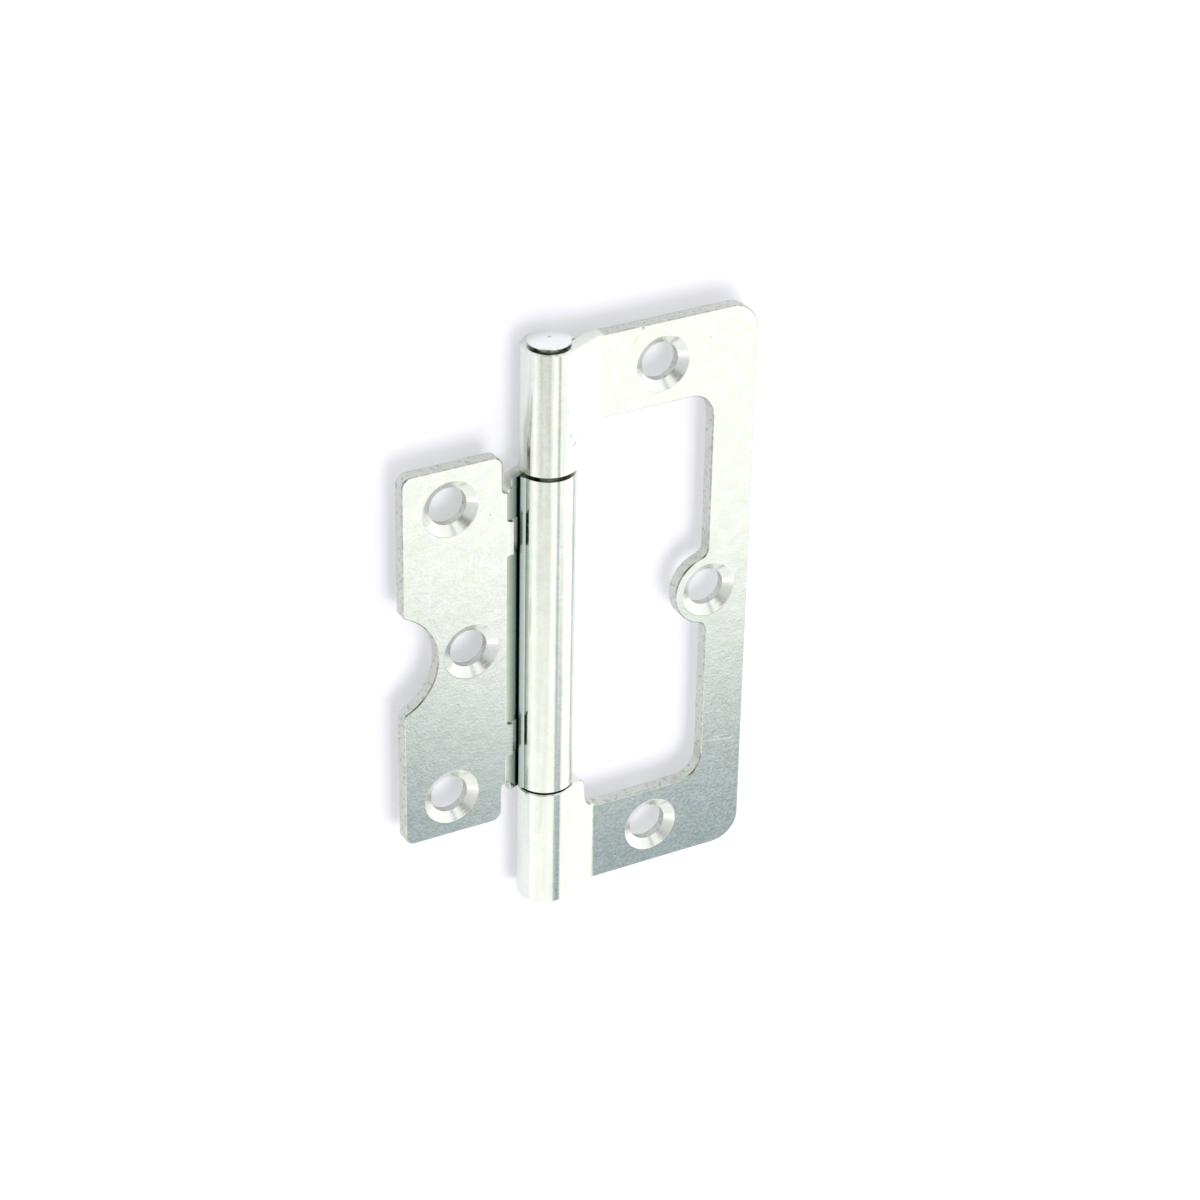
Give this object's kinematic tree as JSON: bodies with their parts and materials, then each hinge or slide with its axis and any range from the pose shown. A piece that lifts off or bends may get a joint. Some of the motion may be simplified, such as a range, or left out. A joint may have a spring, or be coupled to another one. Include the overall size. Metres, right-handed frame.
{
  "type": "flush hinge",
  "caption": "Open zinc-plated steel flush hinge: a small leaf folds into the window of a larger leaf about a rolled barrel with a headed pin.",
  "frame": {"origin": "middle of the open hinge's outline, on the surface that the barrel lies on", "axes": "+Y along the barrel, +X towards the large leaf's far edge, +Z out of the countersunk faces"},
  "size_m": [0.0624, 0.1022, 0.0091],
  "materials": {
    "zinc_plate": "bright zinc plating, satin on the leaves and shinier on the barrel",
    "pin_steel": "bright zinc plating, polished head"
  },
  "bodies": {
    "large_leaf": {"outer_leaf": "zinc_plate", "hinge_pin": "pin_steel"},
    "small_leaf": {"inner_leaf": "zinc_plate"}
  },
  "joints": [
    {"name": "leaf_swing", "type": "hinge", "parent": "large_leaf", "child": "small_leaf", "pos_m": [-0.00545, 0, 0.00455], "axis": [0, 1, 0], "range_deg": [0, 180]}
  ]
}
